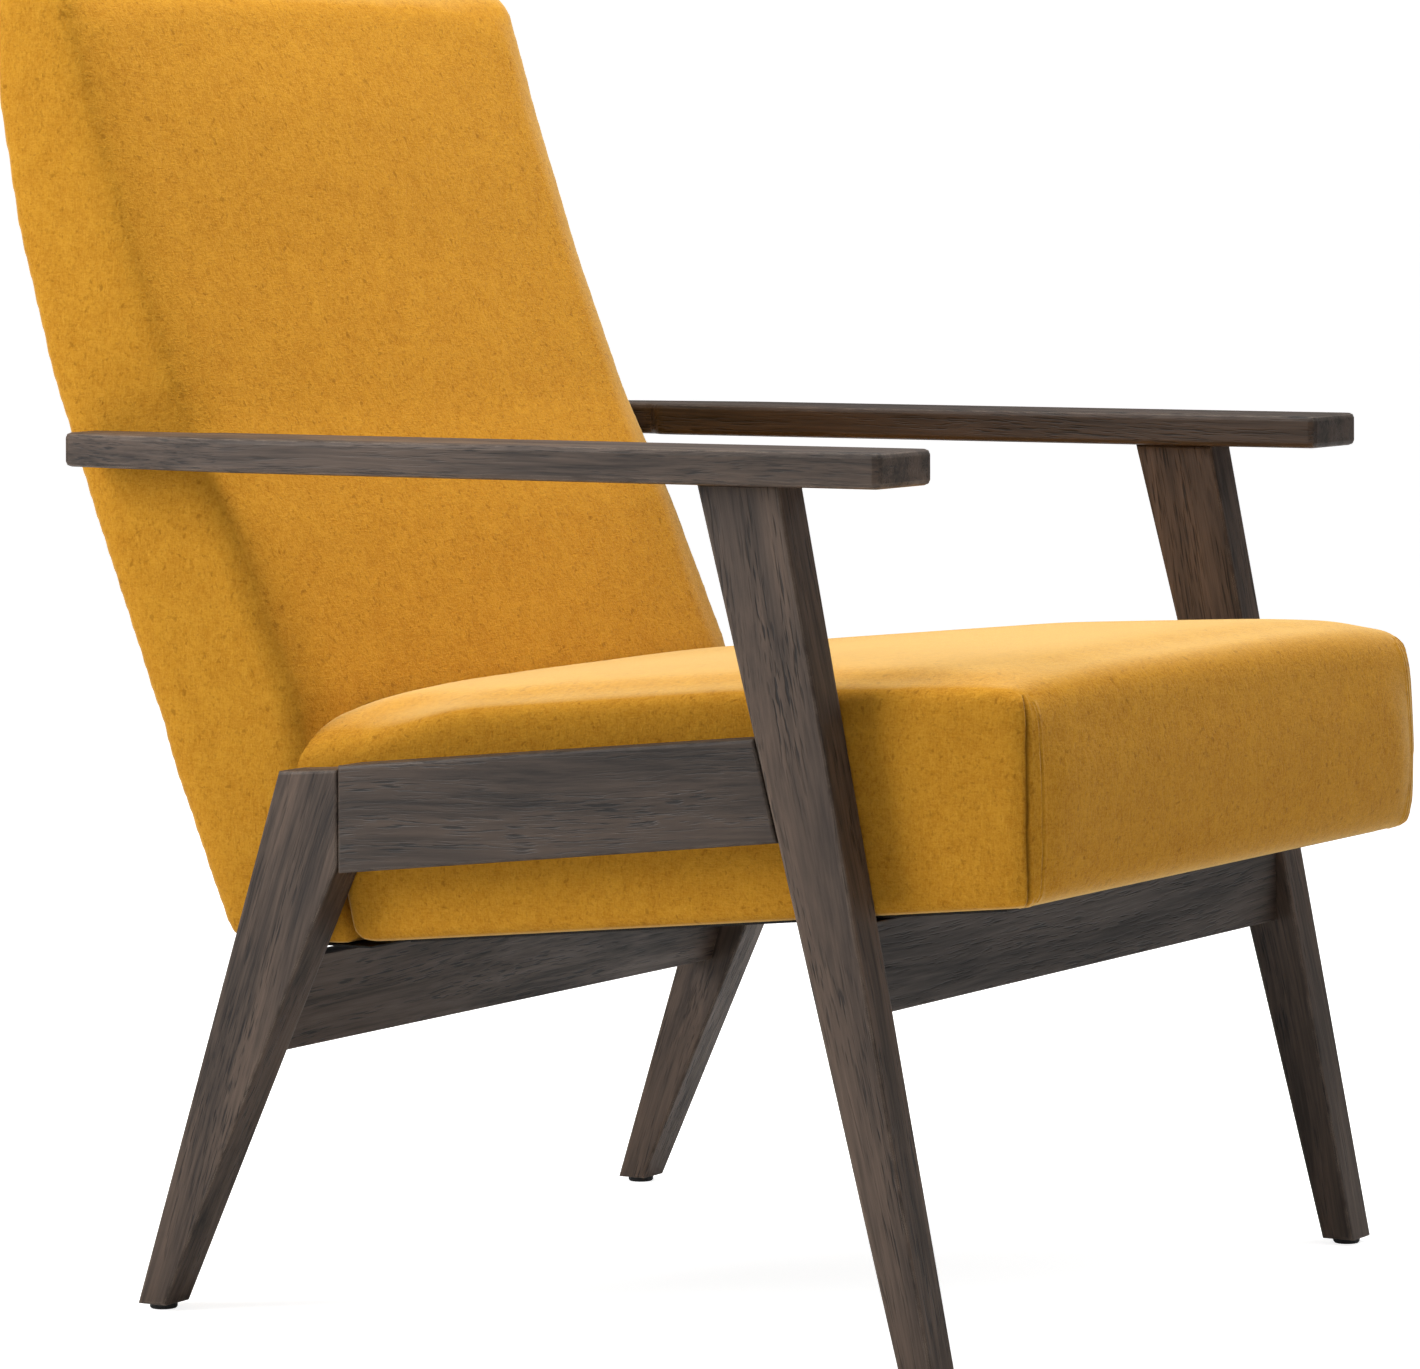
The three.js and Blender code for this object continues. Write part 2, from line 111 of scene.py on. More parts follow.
lightSettings = {
    "aim": (0, 0, 0.45),
    "lamps": {
        # name: azimuth, elevation, distance, width, height, watts
        "top": (15, 85, 2.4, 1.8, 1.8, 92.0),
        "left": (-130, 23, 2.3, 0.9, 1.5, 38.0),
        "frontRight": (56, 40, 3.0, 1.6, 1.6, 20.0),
    },
    "world": 0.19,
}


def addLights():
    aim = Vector(lightSettings["aim"])
    for name, (azimuth, elevation, distance, width, height, watts) in lightSettings["lamps"].items():
        a, e = math.radians(azimuth), math.radians(elevation)
        away = Vector((math.sin(a) * math.cos(e), -math.cos(a) * math.cos(e), math.sin(e)))
        data = bpy.data.lights.new(name + "Light", "AREA")
        data.shape = "RECTANGLE"
        data.size, data.size_y = width, height
        data.energy = watts
        lamp = bpy.data.objects.new(name + "Light", data)
        lamp.location = aim + away * distance
        lamp.rotation_euler = (-away).to_track_quat("-Z", "Y").to_euler()
        scene.collection.objects.link(lamp)
    world = bpy.data.worlds.new("world")
    world.use_nodes = True
    background = world.node_tree.nodes["Background"]
    background.inputs["Color"].default_value = (1, 1, 1, 1)
    background.inputs["Strength"].default_value = lightSettings["world"]
    scene.world = world
    scene.view_settings.view_transform = "Standard"
    scene.view_settings.look = "None"


stageSettings = {
    "size": 20.0, "reach": 8.0, "radius": 1.6, "wall": 5.0, "steps": 16,
    "colour": (0.80, 0.80, 0.795, 1), "roughness": 0.9,
    "glow": (0.05, 0.84),  # what the chair receives, and what the camera sees
}


def makeStagePaper():
    material = bpy.data.materials.new("stagePaper")
    material.use_nodes = True
    tree = material.node_tree
    shader = tree.nodes["Principled BSDF"]
    shader.inputs["Base Color"].default_value = stageSettings["colour"]
    shader.inputs["Roughness"].default_value = stageSettings["roughness"]
    shader.inputs["Emission Color"].default_value = (1, 1, 1, 1)
    path = tree.nodes.new("ShaderNodeLightPath")
    glow = tree.nodes.new("ShaderNodeMapRange")
    glow.inputs["To Min"].default_value, glow.inputs["To Max"].default_value = stageSettings["glow"]
    tree.links.new(path.outputs["Is Camera Ray"], glow.inputs["Value"])
    tree.links.new(glow.outputs["Result"], shader.inputs["Emission Strength"])
    return material


# Floor that sweeps up into a wall behind the chair, seen from the camera's side
def addStage():
    bm = bmesh.new()
    s = stageSettings
    half = s["size"] / 2
    first = bm.verts.new((-half, -s["size"], 0))
    last = bm.verts.new((half, -s["size"], 0))
    edge = bm.edges.new((first, last))
    reach = bmesh.ops.extrude_edge_only(bm, edges=[edge])
    moved = [v for v in reach["geom"] if isinstance(v, bmesh.types.BMVert)]
    bmesh.ops.translate(bm, verts=moved, vec=(0, s["size"] + s["reach"], 0))
    rim = [e for e in reach["geom"]
           if isinstance(e, bmesh.types.BMEdge) and all(v in moved for v in e.verts)]
    sweep = bmesh.ops.spin(bm, geom=moved + rim, cent=(0, s["reach"], s["radius"]), axis=(1, 0, 0),
                           angle=math.radians(90), steps=s["steps"], use_merge=False)
    top = [e for e in sweep["geom_last"] if isinstance(e, bmesh.types.BMEdge)]
    wall = bmesh.ops.extrude_edge_only(bm, edges=top)
    bmesh.ops.translate(bm, verts=[v for v in wall["geom"] if isinstance(v, bmesh.types.BMVert)],
                        vec=(0, 0, s["wall"]))
    bmesh.ops.rotate(bm, verts=bm.verts, cent=(0, 0, 0),
                     matrix=Matrix.Rotation(math.radians(cameraSettings["turn"][2]), 3, "Z"))
    bmesh.ops.recalc_face_normals(bm, faces=bm.faces)
    floor = makeObject("stage_floor", bm, makeStagePaper())
    shadeSmooth(floor)


addCamera()
addLights()
addStage()
print("camera, lights and stage set")


# ---- node helpers

def addNode(tree, kind, inputs=None, **settings):
    node = tree.nodes.new(kind)
    for key, value in settings.items():
        setattr(node, key, value)
    for key, value in (inputs or {}).items():
        if isinstance(value, bpy.types.NodeSocket):
            tree.links.new(value, node.inputs[key])
        else:
            node.inputs[key].default_value = value
    return node


def noiseAt(tree, vector, scale, detail=2.0, rough=0.5, distortion=0.0):
    return addNode(tree, "ShaderNodeTexNoise", {"Vector": vector, "Scale": scale, "Detail": detail,
                                                "Roughness": rough, "Distortion": distortion})


def stretch(tree, vector, scale, turn=(0, 0, 0)):
    inputs = {"Vector": vector, "Scale": scale, "Rotation": turn}
    return addNode(tree, "ShaderNodeMapping", inputs).outputs[0]


def remap(tree, value, low, high, outLow=0.0, outHigh=1.0):
    node = addNode(tree, "ShaderNodeMapRange", {"Value": value, "From Min": low, "From Max": high,
                                                "To Min": outLow, "To Max": outHigh})
    return node.outputs["Result"]


def maths(tree, operation, a, b=0.0):
    return addNode(tree, "ShaderNodeMath", {0: a, 1: b}, operation=operation).outputs[0]


# sockets 0, 6 and 7 are the factor and the two colours of a mix in colour mode, output 2 its result
def mixColour(tree, factor, a, b):
    return addNode(tree, "ShaderNodeMix", {0: factor, 6: a, 7: b}, data_type="RGBA").outputs[2]


def newGroup(name, inputs, outputs):
    group = bpy.data.node_groups.new(name, "ShaderNodeTree")
    for socketName, kind, value in inputs:
        socket = group.interface.new_socket(socketName, in_out="INPUT", socket_type=kind)
        if value is not None:
            socket.default_value = value
    for socketName, kind in outputs:
        group.interface.new_socket(socketName, in_out="OUTPUT", socket_type=kind)
    return group, group.nodes.new("NodeGroupInput"), group.nodes.new("NodeGroupOutput")


def placeGroup(tree, group, inputs):
    return addNode(tree, "ShaderNodeGroup", inputs, node_tree=group)


# Grain that runs along the vector's Z: broad bands, fine fibres and short dark pores
def makeGrainGroup():
    group, given, out = newGroup("woodGrain", [
        ("Vector", "NodeSocketVector", None), ("Band Scale", "NodeSocketFloat", 45.0),
        ("Fibre Scale", "NodeSocketFloat", 330.0), ("Pore Depth", "NodeSocketFloat", 0.85),
    ], [("Tone", "NodeSocketFloat"), ("Pores", "NodeSocketFloat"), ("Height", "NodeSocketFloat")])
    vector = given.outputs["Vector"]
    warp = noiseAt(group, stretch(group, vector, (5, 5, 1.6)), 1.0, 2.0)
    bent = addNode(group, "ShaderNodeVectorMath", {0: warp.outputs["Color"], 1: (0.06, 0.06, 0.0)},
                   operation="MULTIPLY").outputs[0]
    path = addNode(group, "ShaderNodeVectorMath", {0: vector, 1: bent}, operation="ADD").outputs[0]
    bands = noiseAt(group, stretch(group, path, (1, 1, 0.09)), given.outputs["Band Scale"], 3.0, 0.55)
    fibres = noiseAt(group, stretch(group, path, (1, 1, 0.035)), given.outputs["Fibre Scale"], 4.0, 0.65)
    pores = noiseAt(group, stretch(group, path, (1, 1, 0.055)), 760.0, 1.0, 0.5)
    clump = noiseAt(group, stretch(group, path, (1, 1, 0.08)), 90.0, 1.0, 0.5)
    openPores = remap(group, pores.outputs["Fac"], 0.54, 0.66)
    gathered = maths(group, "MULTIPLY", openPores, remap(group, clump.outputs["Fac"], 0.36, 0.60))
    poreMask = maths(group, "MULTIPLY", gathered, given.outputs["Pore Depth"])
    broadTone = maths(group, "MULTIPLY", remap(group, bands.outputs["Fac"], 0.37, 0.63), 0.50)
    fineTone = maths(group, "MULTIPLY", remap(group, fibres.outputs["Fac"], 0.32, 0.68), 0.50)
    tone = maths(group, "ADD", broadTone, fineTone)
    height = maths(group, "SUBTRACT", maths(group, "MULTIPLY", tone, 0.35), poreMask)
    for key, value in (("Tone", tone), ("Pores", poreMask), ("Height", height)):
        group.links.new(value, out.inputs[key])
    return group


# 1 along arrises, 0 on flats
def makeWearGroup():
    group, given, out = newGroup("edgeWear", [
        ("Vector", "NodeSocketVector", None), ("Width", "NodeSocketFloat", 0.002),
    ], [("Mask", "NodeSocketFloat"), ("Normal", "NodeSocketVector")])
    rounded = addNode(group, "ShaderNodeBevel", {"Radius": given.outputs["Width"]}, samples=4).outputs[0]
    flat = addNode(group, "ShaderNodeNewGeometry").outputs["Normal"]
    agree = addNode(group, "ShaderNodeVectorMath", {0: rounded, 1: flat}, operation="DOT_PRODUCT")
    edge = remap(group, agree.outputs["Value"], 0.995, 0.90)
    broken = noiseAt(group, given.outputs["Vector"], 70.0, 3.0, 0.6)
    mask = maths(group, "MULTIPLY", edge, remap(group, broken.outputs["Fac"], 0.35, 0.62))
    group.links.new(mask, out.inputs["Mask"])
    group.links.new(rounded, out.inputs["Normal"])
    return group


# turn in radians and squash of each layer of fibres
feltFibres = [
    ((0.3, 0.2, 0.5), (1, 0.22, 1)),
    ((0.9, 1.1, 0.1), (0.22, 1, 1)),
    ((1.7, 0.4, 1.2), (1, 1, 0.22)),
]


# Felted wool: matted fibres, mottled dye and darker flecks
def makeFeltGroup():
    group, given, out = newGroup("feltedWool", [
        ("Vector", "NodeSocketVector", None), ("Fleck Scale", "NodeSocketFloat", 180.0),
        ("Fibre Scale", "NodeSocketFloat", 900.0),
    ], [("Mottle", "NodeSocketFloat"), ("Flecks", "NodeSocketFloat"), ("Fibres", "NodeSocketFloat"),
        ("Height", "NodeSocketFloat")])
    vector = given.outputs["Vector"]
    broad = noiseAt(group, vector, 42.0, 4.0, 0.62)
    cloudy = noiseAt(group, vector, 150.0, 3.0, 0.6, 0.8)
    broadDye = maths(group, "MULTIPLY", remap(group, broad.outputs["Fac"], 0.33, 0.67), 0.4)
    cloudyDye = maths(group, "MULTIPLY", remap(group, cloudy.outputs["Fac"], 0.36, 0.64), 0.6)
    mottle = maths(group, "ADD", broadDye, cloudyDye)
    dots = noiseAt(group, vector, given.outputs["Fleck Scale"], 2.0, 0.5, 0.4)
    fineScale = maths(group, "MULTIPLY", given.outputs["Fleck Scale"], 2.1)
    fine = noiseAt(group, vector, fineScale, 2.0, 0.55, 0.3)
    sparse = maths(group, "MULTIPLY", remap(group, dots.outputs["Fac"], 0.63, 0.73), 0.75)
    dense = maths(group, "MULTIPLY", remap(group, fine.outputs["Fac"], 0.54, 0.74), 0.55)
    flecks = maths(group, "MAXIMUM", sparse, dense)
    # three layers of stretched noise, each lying its own way
    layers = []
    for turn, squash in feltFibres:
        laid = stretch(group, vector, squash, turn)
        strand = noiseAt(group, laid, given.outputs["Fibre Scale"], 2.0, 0.6, 0.5)
        layers.append(remap(group, strand.outputs["Fac"], 0.35, 0.7))
    matted = maths(group, "ADD", maths(group, "ADD", layers[0], layers[1]), layers[2])
    fibres = maths(group, "MULTIPLY", matted, 0.333)
    height = maths(group, "ADD", maths(group, "MULTIPLY", fibres, 0.7), maths(group, "MULTIPLY", mottle, 0.5))
    for key, value in (("Mottle", mottle), ("Flecks", flecks), ("Fibres", fibres), ("Height", height)):
        group.links.new(value, out.inputs[key])
    return group


# Plain weave of two crossing sets of threads, with a little fuzz
def makeWeaveGroup():
    group, given, out = newGroup("plainWeave", [
        ("Vector", "NodeSocketVector", None), ("Thread Scale", "NodeSocketFloat", 90.0),
    ], [("Shade", "NodeSocketFloat"), ("Fuzz", "NodeSocketFloat"), ("Height", "NodeSocketFloat")])
    vector = given.outputs["Vector"]
    threads = {"Vector": vector, "Scale": given.outputs["Thread Scale"]}
    warp = addNode(group, "ShaderNodeTexWave", threads, bands_direction="X").outputs["Fac"]
    weft = addNode(group, "ShaderNodeTexWave", threads, bands_direction="Y").outputs["Fac"]
    weave = maths(group, "MULTIPLY", warp, weft)
    fuzz = noiseAt(group, vector, 500.0, 3.0, 0.6).outputs["Fac"]
    shade = maths(group, "MULTIPLY", weave, remap(group, fuzz, 0.3, 0.7, 0.6, 1.0))
    for key, value in (("Shade", shade), ("Fuzz", fuzz), ("Height", weave)):
        group.links.new(value, out.inputs[key])
    return group


grainGroup = makeGrainGroup()
wearGroup = makeWearGroup()
feltGroup = makeFeltGroup()
weaveGroup = makeWeaveGroup()


def newMaterial(name):
    material = bpy.data.materials.new(name)
    material.use_nodes = True
    tree = material.node_tree
    shader = tree.nodes["Principled BSDF"]
    place = addNode(tree, "ShaderNodeTexCoord").outputs["Object"]
    return material, tree, shader, place


def addBump(tree, shader, height, strength, distance, normal=None):
    bump = addNode(tree, "ShaderNodeBump", {"Height": height, "Strength": strength, "Distance": distance})
    if normal is not None:
        tree.links.new(normal, bump.inputs["Normal"])
    tree.links.new(bump.outputs["Normal"], shader.inputs["Normal"])


stainedWood = {
    "dark": (0.016, 0.0104, 0.0078, 1), "light": (0.122, 0.080, 0.056, 1),
    "pore": (0.006, 0.0040, 0.0032, 1), "worn": (0.28, 0.215, 0.165, 1),
    "roughness": (0.42, 0.62), "specular": 0.36, "bump": 0.5, "depth": 0.0007,
    "wearWidth": 0.0020, "wearAmount": 0.8,
}


# Boards drawn darker than the rest: for the front apron this is painted shade under the seat; the others are
# simply drawn darker board by board
boardToneAndShade = {
    "side_rail_right": 0.60, "armrest_left": 0.58, "front_leg_left": 0.86, "front_apron": 0.52,
    "armrest_right": 0.92, "rear_apron": 0.92,
}


# turn: rotation that brings the piece's grain onto Z; offset keeps pieces from sharing a board
def makeStainedWood(node, turn, offset):
    first, *others = node.split("_")
    name = first + "".join(word.capitalize() for word in others) + "Wood"
    material, tree, shader, place = newMaterial(name)
    # for the front apron this darkening is painted shade under the seat
    tone = boardToneAndShade.get(node, 1.0)
    w = dict(stainedWood)
    for key in ("dark", "light", "pore", "worn"):
        w[key] = (*[tone * c for c in w[key][:3]], 1)
    board = {"Vector": place, "Rotation": turn, "Location": offset}
    along = addNode(tree, "ShaderNodeMapping", board).outputs[0]
    grain = placeGroup(tree, grainGroup, {"Vector": along})
    wear = placeGroup(tree, wearGroup, {"Vector": place, "Width": w["wearWidth"]})
    base = mixColour(tree, grain.outputs["Tone"], w["dark"], w["light"])
    pored = mixColour(tree, grain.outputs["Pores"], base, w["pore"])
    rubbed = maths(tree, "MULTIPLY", wear.outputs["Mask"], w["wearAmount"])
    tree.links.new(mixColour(tree, rubbed, pored, w["worn"]), shader.inputs["Base Color"])
    low, high = w["roughness"]
    tree.links.new(remap(tree, grain.outputs["Tone"], 1.0, 0.0, low, high), shader.inputs["Roughness"])
    shader.inputs["Specular IOR Level"].default_value = w["specular"]
    addBump(tree, shader, grain.outputs["Height"], w["bump"], w["depth"], wear.outputs["Normal"])
    return material


beech = {
    "dark": (0.50, 0.31, 0.16, 1), "light": (0.66, 0.46, 0.27, 1), "pore": (0.30, 0.17, 0.08, 1),
    "poreDepth": 0.25, "roughness": (0.55, 0.75), "bump": 0.25, "depth": 0.0005,
}


def makeBeech(name, turn):
    material, tree, shader, place = newMaterial(name)
    along = stretch(tree, place, (1, 1, 1), turn)
    grain = placeGroup(tree, grainGroup, {"Vector": along, "Pore Depth": beech["poreDepth"]})
    base = mixColour(tree, grain.outputs["Tone"], beech["dark"], beech["light"])
    pored = mixColour(tree, grain.outputs["Pores"], base, beech["pore"])
    tree.links.new(pored, shader.inputs["Base Color"])
    low, high = beech["roughness"]
    tree.links.new(remap(tree, grain.outputs["Tone"], 0.0, 1.0, low, high), shader.inputs["Roughness"])
    addBump(tree, shader, grain.outputs["Height"], beech["bump"], beech["depth"])
    return material


# Besides the wool's own colours, two are painted light: a shade for the seam grooves and the crevice behind
# the seat, and a pale sheen for faces turned away.
felt = {
    "deep": (0.36, 0.138, 0.006, 1), "body": (0.48, 0.218, 0.015, 1), "bright": (0.70, 0.370, 0.045, 1),
    "fleck": (0.17, 0.055, 0.002, 1), "seam": (0.10, 0.038, 0.001, 1), "nap": (0.80, 0.60, 0.27, 1),
    "fibreAmount": 0.55, "fleckAmount": 0.62, "paintedSheenAmount": 0.42, "creaseShadeAmount": 0.8,
    "roughness": (0.98, 0.86), "specular": 0.08, "bump": 0.5, "depth": 0.0011,
    "sheen": 0.18, "sheenRoughness": 0.26, "sheenTint": (1.0, 0.92, 0.74, 1),
}


def makeFelt():
    material, tree, shader, place = newMaterial("mustardFelt")
    wool = placeGroup(tree, feltGroup, {"Vector": place})
    base = mixColour(tree, wool.outputs["Mottle"], felt["deep"], felt["body"])
    strands = maths(tree, "MULTIPLY", wool.outputs["Fibres"], felt["fibreAmount"])
    lit = mixColour(tree, strands, base, felt["bright"])
    specks = maths(tree, "MULTIPLY", wool.outputs["Flecks"], felt["fleckAmount"])
    flecked = mixColour(tree, specks, lit, felt["fleck"])
    # painted sheen: the colour pales where the surface turns away from the view
    glance = addNode(tree, "ShaderNodeLayerWeight", {"Blend": 0.5}).outputs["Facing"]
    sheenPainted = mixColour(tree, remap(tree, glance, 0.58, 0.95, 0.0, felt["paintedSheenAmount"]), flecked, felt["nap"])
    # painted shade: the crease weight darkens the wool in the seam grooves and in the crevice behind the seat
    crease = addNode(tree, "ShaderNodeAttribute", attribute_name="crease").outputs["Fac"]
    creaseShaded = mixColour(tree, maths(tree, "MULTIPLY", crease, felt["creaseShadeAmount"]), sheenPainted, felt["seam"])
    tree.links.new(creaseShaded, shader.inputs["Base Color"])
    low, high = felt["roughness"]
    tree.links.new(remap(tree, wool.outputs["Fibres"], 0.0, 1.0, low, high), shader.inputs["Roughness"])
    shader.inputs["Specular IOR Level"].default_value = felt["specular"]
    shader.inputs["Sheen Weight"].default_value = felt["sheen"]
    shader.inputs["Sheen Roughness"].default_value = felt["sheenRoughness"]
    shader.inputs["Sheen Tint"].default_value = felt["sheenTint"]
    addBump(tree, shader, wool.outputs["Height"], felt["bump"], felt["depth"])
    return material


# The weave's two cloths: elastic webbing, and the lining that closes a cushion's open side
weaves = {
    "strapWeave": {"dark": (0.012, 0.012, 0.013, 1), "light": (0.07, 0.07, 0.072, 1), "scale": 90.0},
    "liningCloth": {"dark": (0.010, 0.010, 0.010, 1), "light": (0.032, 0.032, 0.033, 1), "scale": 260.0},
}


def makeWeave(name):
    w = weaves[name]
    material, tree, shader, place = newMaterial(name)
    cloth = placeGroup(tree, weaveGroup, {"Vector": place, "Thread Scale": w["scale"]})
    colour = mixColour(tree, cloth.outputs["Shade"], w["dark"], w["light"])
    tree.links.new(colour, shader.inputs["Base Color"])
    tree.links.new(remap(tree, cloth.outputs["Fuzz"], 0.3, 0.7, 0.8, 0.95), shader.inputs["Roughness"])
    addBump(tree, shader, cloth.outputs["Height"], 0.5, 0.0006)
    return material


steel = {
    "dark": (0.42, 0.43, 0.44, 1), "light": (0.62, 0.63, 0.64, 1), "roughness": (0.28, 0.45),
    "bump": 0.15, "depth": 0.0002,
}


def makeSteel():
    material, tree, shader, place = newMaterial("boltSteel")
    lines = noiseAt(tree, stretch(tree, place, (0.05, 1, 1)), 1500.0, 2.0).outputs["Fac"]
    tree.links.new(mixColour(tree, lines, steel["dark"], steel["light"]), shader.inputs["Base Color"])
    tree.links.new(remap(tree, lines, 0.3, 0.7, *steel["roughness"]), shader.inputs["Roughness"])
    shader.inputs["Metallic"].default_value = 1.0
    addBump(tree, shader, lines, steel["bump"], steel["depth"])
    return material


plastic = {
    "clean": (0.010, 0.010, 0.011, 1), "scuffed": (0.055, 0.053, 0.052, 1), "roughness": (0.42, 0.66),
    "bump": 0.25, "depth": 0.0002,
}


def makePlastic():
    material, tree, shader, place = newMaterial("glidePlastic")
    fine = noiseAt(tree, place, 1400.0, 2.0, 0.6).outputs["Fac"]
    scuff = noiseAt(tree, place, 160.0, 4.0, 0.7).outputs["Fac"]
    colour = mixColour(tree, remap(tree, scuff, 0.55, 0.75), plastic["clean"], plastic["scuffed"])
    tree.links.new(colour, shader.inputs["Base Color"])
    tree.links.new(remap(tree, scuff, 0.3, 0.7, *plastic["roughness"]), shader.inputs["Roughness"])
    addBump(tree, shader, fine, plastic["bump"], plastic["depth"])
    return material


# lean of each member's grain in the side view, in degrees from upright towards the back
grainLean = {"front_leg": 12.6, "rear_leg": -19.0, "side_rail": 95.6, "armrest": 90.0}


def lookFor(name, looks):
    for start, material in looks:
        if name.startswith(start):
            return material
    return None


def dressNodes():
    woods = []
    for i, (kind, lean) in enumerate(grainLean.items()):
        turn = (math.radians(lean), 0, 0)
        for j, side in enumerate(("right", "left")):
            node = f"{kind}_{side}"
            offset = (0.37 * i + 0.61 * j, 0.23 * j, 0.5 * i)
            woods.append((node, makeStainedWood(node, turn, offset)))
    sideways = (0, math.radians(90), 0)
    woods.append(("front_apron", makeStainedWood("front_apron", sideways, (1.3, 0.2, 0.4))))
    woods.append(("rear_apron", makeStainedWood("rear_apron", sideways, (2.1, 0.7, 0.9))))
    beechLong = makeBeech("beechAlong", (math.radians(90), 0, 0))
    beechWide = makeBeech("beechAcross", sideways)
    beechTall = makeBeech("beechUpright", (0, 0, 0))
    strap = makeWeave("strapWeave")
    lining = makeWeave("liningCloth")
    boltSteel = makeSteel()
    glidePlastic = makePlastic()
    # the first entry that a node's name starts with gives its material
    looks = woods + [
        ("front_glide", glidePlastic), ("rear_glide", glidePlastic),
        ("arm_bolt", boltSteel), ("back_bolt", boltSteel), ("seat_bolt", boltSteel),
        ("rail_", beechLong), ("arm_dowel", beechTall), ("corner_block", beechWide),
        ("seat_frame_side", beechLong), ("seat_frame", beechWide),
        ("back_stile", beechTall), ("back_frame", beechWide),
        ("seat_strap", strap), ("back_strap", strap), ("seat_dust", lining), ("back_dust", lining),
    ]
    for name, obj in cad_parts.items():
        material = lookFor(name, looks)
        if material is not None:
            obj.data.materials.clear()
            obj.data.materials.append(material)


dressNodes()
feltMaterial = makeFelt()
print("wood, webbing, lining and fittings dressed")


# ---- upholstery

# Averages one number per vertex with its neighbours
def evened(mesh, values, rounds):
    links = [e.vertices[:] for e in mesh.edges]
    count = [0] * len(values)
    for a, b in links:
        count[a] += 1
        count[b] += 1
    for _ in range(rounds):
        total = [0.0] * len(values)
        for a, b in links:
            total[a] += values[b]
            total[b] += values[a]
        values = [0.5 * v + 0.5 * t / n for v, t, n in zip(values, total, count)]
    return values


clothSettings = {
    "quality": 5, "mass": 0.3, "tension_stiffness": 12, "compression_stiffness": 12,
    "shear_stiffness": 6, "bending_stiffness": 1.2,
}
clothFrames = 20


# Pumps a closed mesh up like cloth over foam; it is stapled down below holdBelow
def inflate(obj, pressure, cap, holdBelow):
    rest = [v.co.copy() for v in obj.data.vertices]
    outward = [v.normal.copy() for v in obj.data.vertices]
    held = obj.vertex_groups.new(name="held")
    held.add([i for i, co in enumerate(rest) if co.z < holdBelow], 1.0, "REPLACE")
    cloth = obj.modifiers.new("cloth", "CLOTH")
    for key, value in clothSettings.items():
        setattr(cloth.settings, key, value)
    cloth.settings.use_pressure = True
    cloth.settings.uniform_pressure_force = pressure
    cloth.settings.effector_weights.gravity = 0
    cloth.settings.vertex_group_mass = "held"
    cloth.collision_settings.use_collision = False
    cloth.collision_settings.use_self_collision = False
    cloth.point_cache.frame_start = 1
    cloth.point_cache.frame_end = clothFrames
    for number in range(1, clothFrames + 1):
        scene.frame_set(number)
    shown = obj.evaluated_get(bpy.context.evaluated_depsgraph_get())
    puffed = [v.co.copy() for v in shown.data.vertices]
    obj.modifiers.remove(cloth)
    obj.vertex_groups.remove(held)
    # the free result creases at the edges: only its outward part is kept, capped and evened out
    swell = [min(cap, max(0.0, (point - start).dot(n))) for point, start, n in zip(puffed, rest, outward)]
    swell = evened(obj.data, swell, 14)
    for vertex, start, normal, amount in zip(obj.data.vertices, rest, outward, swell):
        vertex.co = start + normal * amount
    scene.frame_set(1)


def remesh(obj, voxel):
    modifier = obj.modifiers.new("remesh", "REMESH")
    modifier.mode = "VOXEL"
    modifier.voxel_size = voxel
    shown = obj.evaluated_get(bpy.context.evaluated_depsgraph_get())
    fine = bpy.data.meshes.new_from_object(shown)
    obj.modifiers.remove(modifier)
    old = obj.data
    fine.materials.clear()
    for material in old.materials:
        fine.materials.append(material)
    obj.data = fine
    bpy.data.meshes.remove(old)


def relax(obj, rounds, amount):
    bm = bmesh.new()
    bm.from_mesh(obj.data)
    for _ in range(rounds):
        bmesh.ops.smooth_vert(bm, verts=bm.verts, factor=amount, use_axis_x=True, use_axis_y=True,
                              use_axis_z=True)
    bm.to_mesh(obj.data)
    bm.free()


# Splits the faces close to a seam, so that it can be modelled finer than the rest
def refineNear(obj, distanceTo, reach):
    bm = bmesh.new()
    bm.from_mesh(obj.data)
    near = [f for f in bm.faces if distanceTo(f.calc_center_median()) < reach]
    edges = {e for f in near for e in f.edges}
    bmesh.ops.subdivide_edges(bm, edges=list(edges), cuts=3, use_grid_fill=True, smooth=0.0)
    bmesh.ops.triangulate(bm, faces=[f for f in bm.faces if len(f.verts) > 4])
    bm.to_mesh(obj.data)
    bm.free()


# Presses a groove along each seam, with a soft swell beside it, and marks it with a crease weight that the
# material turns into painted shade
def pressSeams(obj, distanceTo, width, depth, swell):
    bm = bmesh.new()
    bm.from_mesh(obj.data)
    bm.normal_update()
    crease = bm.verts.layers.float.new("crease")
    moves = []
    for v in bm.verts:
        d = distanceTo(v.co)
        if d < width * 6:
            groove = math.exp(-(d / width) ** 2)
            ridge = math.exp(-((d - 2.8 * width) / (1.3 * width)) ** 2)
            v[crease] = groove
            moves.append((v, v.normal * (swell * ridge - depth * groove)))
    for v, move in moves:
        v.co += move
    bm.to_mesh(obj.data)
    bm.free()


# A cushion stands for its felt cover and the foam under it
def finishCushion(obj, cover, foam):
    shadeSmooth(obj)
    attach(obj, "root")
    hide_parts(cover, foam)


